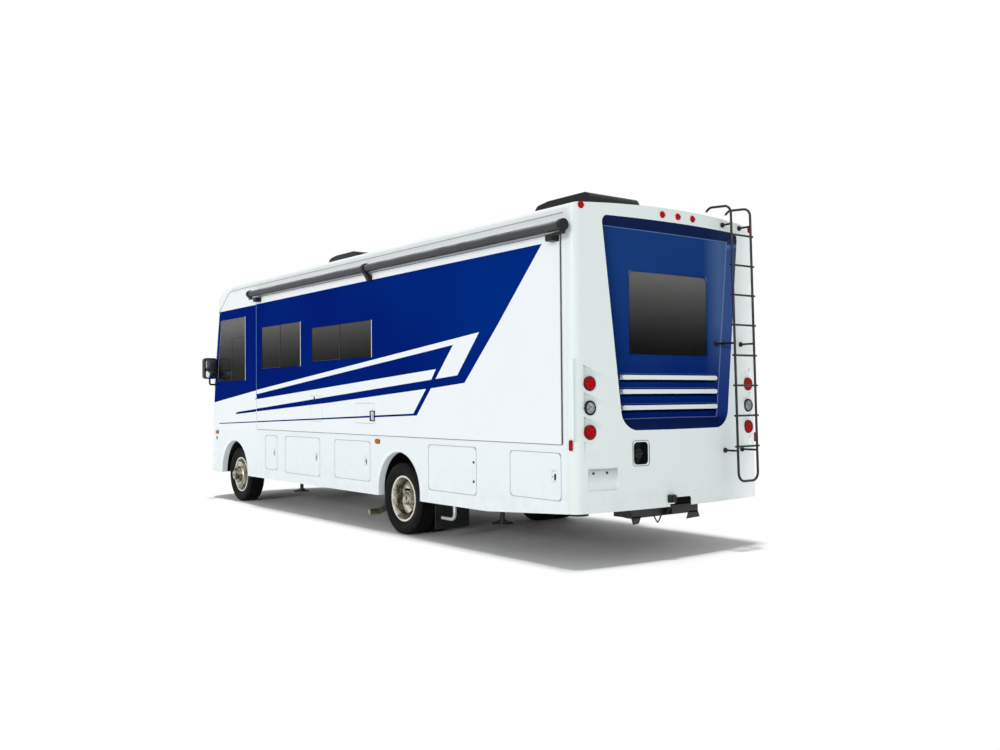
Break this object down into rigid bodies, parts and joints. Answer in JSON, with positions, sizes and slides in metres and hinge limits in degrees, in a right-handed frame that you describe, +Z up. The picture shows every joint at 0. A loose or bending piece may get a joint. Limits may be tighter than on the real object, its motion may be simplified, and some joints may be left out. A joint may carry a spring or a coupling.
{
  "type": "class a motorhome",
  "caption": "Class A motorhome with a long slide-out room, entry door, side-hinged bay doors, steered front and twin rear wheels, levelling jacks, roof coolers and rear ladder.",
  "frame": {"origin": "on the floor below the middle of the overall box", "axes": "+X forward, +Y to the driver's (left) side, +Z up"},
  "size_m": [9.4418, 3, 3.6619],
  "materials": {
    "shell_white": "gloss gelcoat",
    "skirt_white": "gloss paint",
    "roof_white": "satin",
    "dark_glass": "tinted",
    "lamp_red": "clear gloss",
    "lamp_clear": "clear gloss",
    "chrome_trim": "polished",
    "black_plastic": "matte",
    "white_metal": "gloss paint",
    "black_metal": "satin paint",
    "awning_fabric": "coated cloth",
    "frame_steel": "satin paint",
    "cast_steel": "rough",
    "pipe_steel": "heat-stained",
    "deck_wood": "covered ply",
    "dash_plastic": "grained",
    "seat_fabric": "soft cloth",
    "road_tyre": "worn rubber",
    "rim_steel": "polished",
    "sheet_steel": "satin"
  },
  "bodies": {
    "coach": {"front_cap": "shell_white", "rear_cap": "shell_white", "roof": "roof_white", "left_wall": "shell_white", "right_wall": "shell_white", "floor": "deck_wood", "left_skirt": "skirt_white", "right_skirt": "skirt_white", "windscreen": "dark_glass", "coach_glass": "dark_glass", "red_lamps": "lamp_red", "clear_lamps": "lamp_clear", "grille": "chrome_trim", "mirrors": "black_plastic", "ladder": "black_metal", "roof_units": "black_plastic", "patio_awning": "white_metal", "chassis_frame": "frame_steel", "front_axle": "cast_steel", "rear_axle": "cast_steel", "engine": "cast_steel", "fuel_tank": "frame_steel", "exhaust": "pipe_steel", "wheel_wells": "black_plastic", "jack_cylinders": "frame_steel", "cargo_bays": "sheet_steel", "rear_cargo_bay": "sheet_steel", "dashboard": "dash_plastic", "seat_cushions": "seat_fabric"},
    "slide_out": {"slide_room": "shell_white", "slide_glass": "dark_glass", "topper": "black_plastic", "topper_fabric": "awning_fabric"},
    "slide_hatch_front": {"slide_hatch_front": "shell_white"},
    "slide_hatch_rear": {"slide_hatch_rear": "shell_white"},
    "entry_door": {"entry_door": "shell_white", "entry_door_glass": "dark_glass"},
    "knuckle_left": {"knuckle_left": "cast_steel"},
    "knuckle_right": {"knuckle_right": "cast_steel"},
    "wheel_front_left": {"front_left_tyre": "road_tyre", "front_left_rim": "rim_steel"},
    "wheel_front_right": {"front_right_tyre": "road_tyre", "front_right_rim": "rim_steel"},
    "wheels_rear_left": {"rear_left_tyres": "road_tyre", "rear_left_rims": "rim_steel"},
    "wheels_rear_right": {"rear_right_tyres": "road_tyre", "rear_right_rims": "rim_steel"},
    "left_bay_door_1": {"left_bay_door_1": "skirt_white"},
    "left_bay_door_2": {"left_bay_door_2": "skirt_white"},
    "left_bay_door_3": {"left_bay_door_3": "skirt_white"},
    "left_bay_door_4": {"left_bay_door_4": "skirt_white"},
    "left_bay_door_5": {"left_bay_door_5": "skirt_white"},
    "right_bay_door_1": {"right_bay_door_1": "skirt_white"},
    "right_bay_door_2": {"right_bay_door_2": "skirt_white"},
    "right_bay_door_3": {"right_bay_door_3": "skirt_white"},
    "rear_left_jack_foot": {"rear_left_jack_foot": "frame_steel"},
    "rear_right_jack_foot": {"rear_right_jack_foot": "frame_steel"},
    "front_left_jack_foot": {"front_left_jack_foot": "frame_steel"},
    "front_right_jack_foot": {"front_right_jack_foot": "frame_steel"}
  },
  "joints": [
    {"name": "slide_out_travel", "type": "slide", "parent": "coach", "child": "slide_out", "axis": [0, 1, 0], "range_m": [0, 0.65]},
    {"name": "slide_hatch_front_hinge", "type": "hinge", "parent": "slide_out", "child": "slide_hatch_front", "pos_m": [0.571, 1.3025, 1.27], "axis": [-1, 0, 0], "range_deg": [0, 95]},
    {"name": "slide_hatch_rear_hinge", "type": "hinge", "parent": "slide_out", "child": "slide_hatch_rear", "pos_m": [-0.488, 1.3025, 1.382], "axis": [0, 0, -1], "range_deg": [0, 100]},
    {"name": "entry_door_hinge", "type": "hinge", "parent": "coach", "child": "entry_door", "pos_m": [2.432, -1.2825, 1.6], "axis": [0, 0, 1], "range_deg": [0, 100]},
    {"name": "left_bay_door_1_hinge", "type": "hinge", "parent": "coach", "child": "left_bay_door_1", "pos_m": [2.21598, 1.2825, 0.8025], "axis": [0, 0, -1], "range_deg": [0, 100]},
    {"name": "left_bay_door_2_hinge", "type": "hinge", "parent": "coach", "child": "left_bay_door_2", "pos_m": [1.55578, 1.2825, 0.7965], "axis": [0, 0, -1], "range_deg": [0, 100]},
    {"name": "left_bay_door_3_hinge", "type": "hinge", "parent": "coach", "child": "left_bay_door_3", "pos_m": [0.09592, 1.2825, 0.805], "axis": [0, 0, -1], "range_deg": [0, 100]},
    {"name": "left_bay_door_4_hinge", "type": "hinge", "parent": "coach", "child": "left_bay_door_4", "pos_m": [-2.076, 1.2825, 0.806], "axis": [0, 0, -1], "range_deg": [0, 100]},
    {"name": "left_bay_door_5_hinge", "type": "hinge", "parent": "coach", "child": "left_bay_door_5", "pos_m": [-3.53, 1.2825, 0.8255], "axis": [0, 0, -1], "range_deg": [0, 100]},
    {"name": "right_bay_door_1_hinge", "type": "hinge", "parent": "coach", "child": "right_bay_door_1", "pos_m": [1.55578, -1.2825, 0.7965], "axis": [0, 0, 1], "range_deg": [0, 100]},
    {"name": "right_bay_door_2_hinge", "type": "hinge", "parent": "coach", "child": "right_bay_door_2", "pos_m": [0.09592, -1.2825, 0.805], "axis": [0, 0, 1], "range_deg": [0, 100]},
    {"name": "right_bay_door_3_hinge", "type": "hinge", "parent": "coach", "child": "right_bay_door_3", "pos_m": [-2.076, -1.2825, 0.806], "axis": [0, 0, 1], "range_deg": [0, 100]},
    {"name": "steering_left", "type": "hinge", "parent": "coach", "child": "knuckle_left", "pos_m": [3.413, 0.93, 0.408], "axis": [0, 0, 1], "range_deg": [-38, 38]},
    {"name": "steering_right", "type": "hinge", "parent": "coach", "child": "knuckle_right", "pos_m": [3.413, -0.93, 0.408], "axis": [0, 0, 1], "range_deg": [-38, 38]},
    {"name": "wheel_front_left_spin", "type": "hinge", "parent": "knuckle_left", "child": "wheel_front_left", "pos_m": [3.413, 1.064, 0.408], "axis": [0, 1, 0], "continuous": true},
    {"name": "wheel_front_right_spin", "type": "hinge", "parent": "knuckle_right", "child": "wheel_front_right", "pos_m": [3.413, -1.064, 0.408], "axis": [0, 1, 0], "continuous": true},
    {"name": "wheels_rear_left_spin", "type": "hinge", "parent": "coach", "child": "wheels_rear_left", "pos_m": [-1.413, 1.104, 0.408], "axis": [0, 1, 0], "continuous": true},
    {"name": "wheels_rear_right_spin", "type": "hinge", "parent": "coach", "child": "wheels_rear_right", "pos_m": [-1.413, -1.104, 0.408], "axis": [0, 1, 0], "continuous": true},
    {"name": "rear_left_jack_foot_travel", "type": "slide", "parent": "coach", "child": "rear_left_jack_foot", "axis": [0, 0, -1], "range_m": [0, 0.166]},
    {"name": "rear_right_jack_foot_travel", "type": "slide", "parent": "coach", "child": "rear_right_jack_foot", "axis": [0, 0, -1], "range_m": [0, 0.166]},
    {"name": "front_left_jack_foot_travel", "type": "slide", "parent": "coach", "child": "front_left_jack_foot", "axis": [0, 0, -1], "range_m": [0, 0.166]},
    {"name": "front_right_jack_foot_travel", "type": "slide", "parent": "coach", "child": "front_right_jack_foot", "axis": [0, 0, -1], "range_m": [0, 0.166]}
  ],
  "couplings": [
    {"joint": "steering_right", "follows": "steering_left", "ratio": 1}
  ]
}
